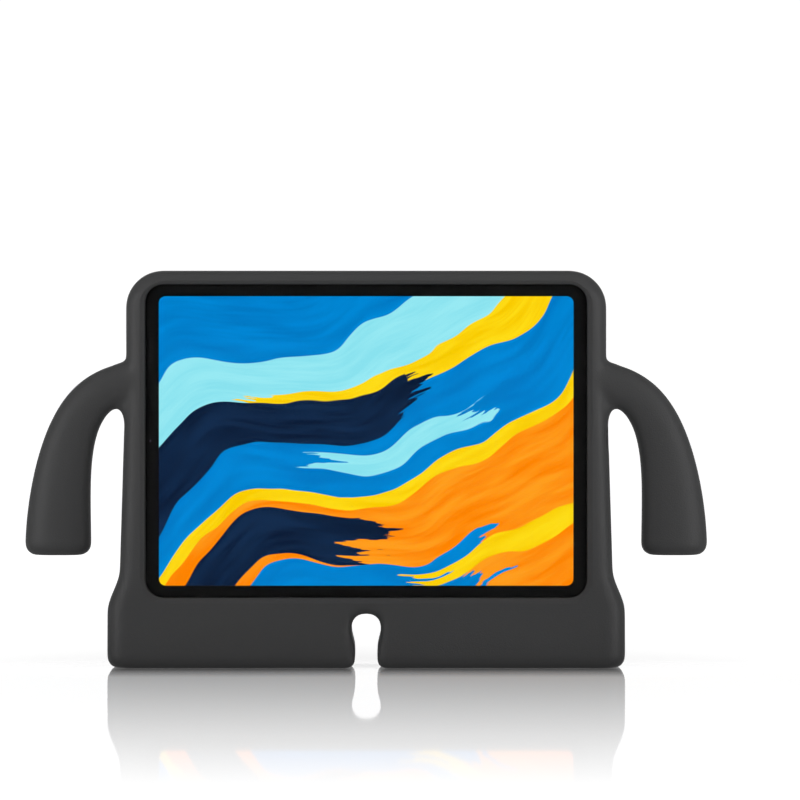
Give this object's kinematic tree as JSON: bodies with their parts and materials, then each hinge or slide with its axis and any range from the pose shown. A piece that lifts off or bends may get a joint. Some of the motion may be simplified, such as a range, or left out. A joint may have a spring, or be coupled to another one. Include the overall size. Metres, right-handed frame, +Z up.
{
  "type": "kids tablet case",
  "caption": "Charcoal foam kids tablet case with two bent carry arms and a flared foot, holding a slate upright with its screen lit.",
  "frame": {"origin": "on the floor, under the middle of the object's box", "axes": "+X runs along the width to the side with the charging opening, -Y is the way the screen faces, +Z is up"},
  "size_m": [0.3776, 0.0478, 0.2199],
  "materials": {
    "foam": "matte",
    "tablet_metal": "satin",
    "cover_glass": "gloss",
    "display": "gloss",
    "border_black": "gloss",
    "sensor_glass": "gloss",
    "ring_metal": "satin",
    "lens_glass": "gloss",
    "flash_plastic": "gloss",
    "port_black": "matte",
    "contact_metal": "satin"
  },
  "bodies": {
    "root": {"foam_case": "foam", "tablet_shell": "tablet_metal", "cover_glass": "cover_glass", "display_panel": "display", "screen_border": "border_black", "infrared_sensor": "sensor_glass", "ambient_sensor": "sensor_glass", "front_camera": "sensor_glass", "proximity_sensor": "sensor_glass", "camera_ring": "ring_metal", "camera_lens": "lens_glass", "flash_window": "flash_plastic", "rear_microphone": "port_black", "contact_top": "contact_metal", "contact_middle": "contact_metal", "contact_bottom": "contact_metal", "socket_tongue": "port_black"}
  },
  "joints": []
}
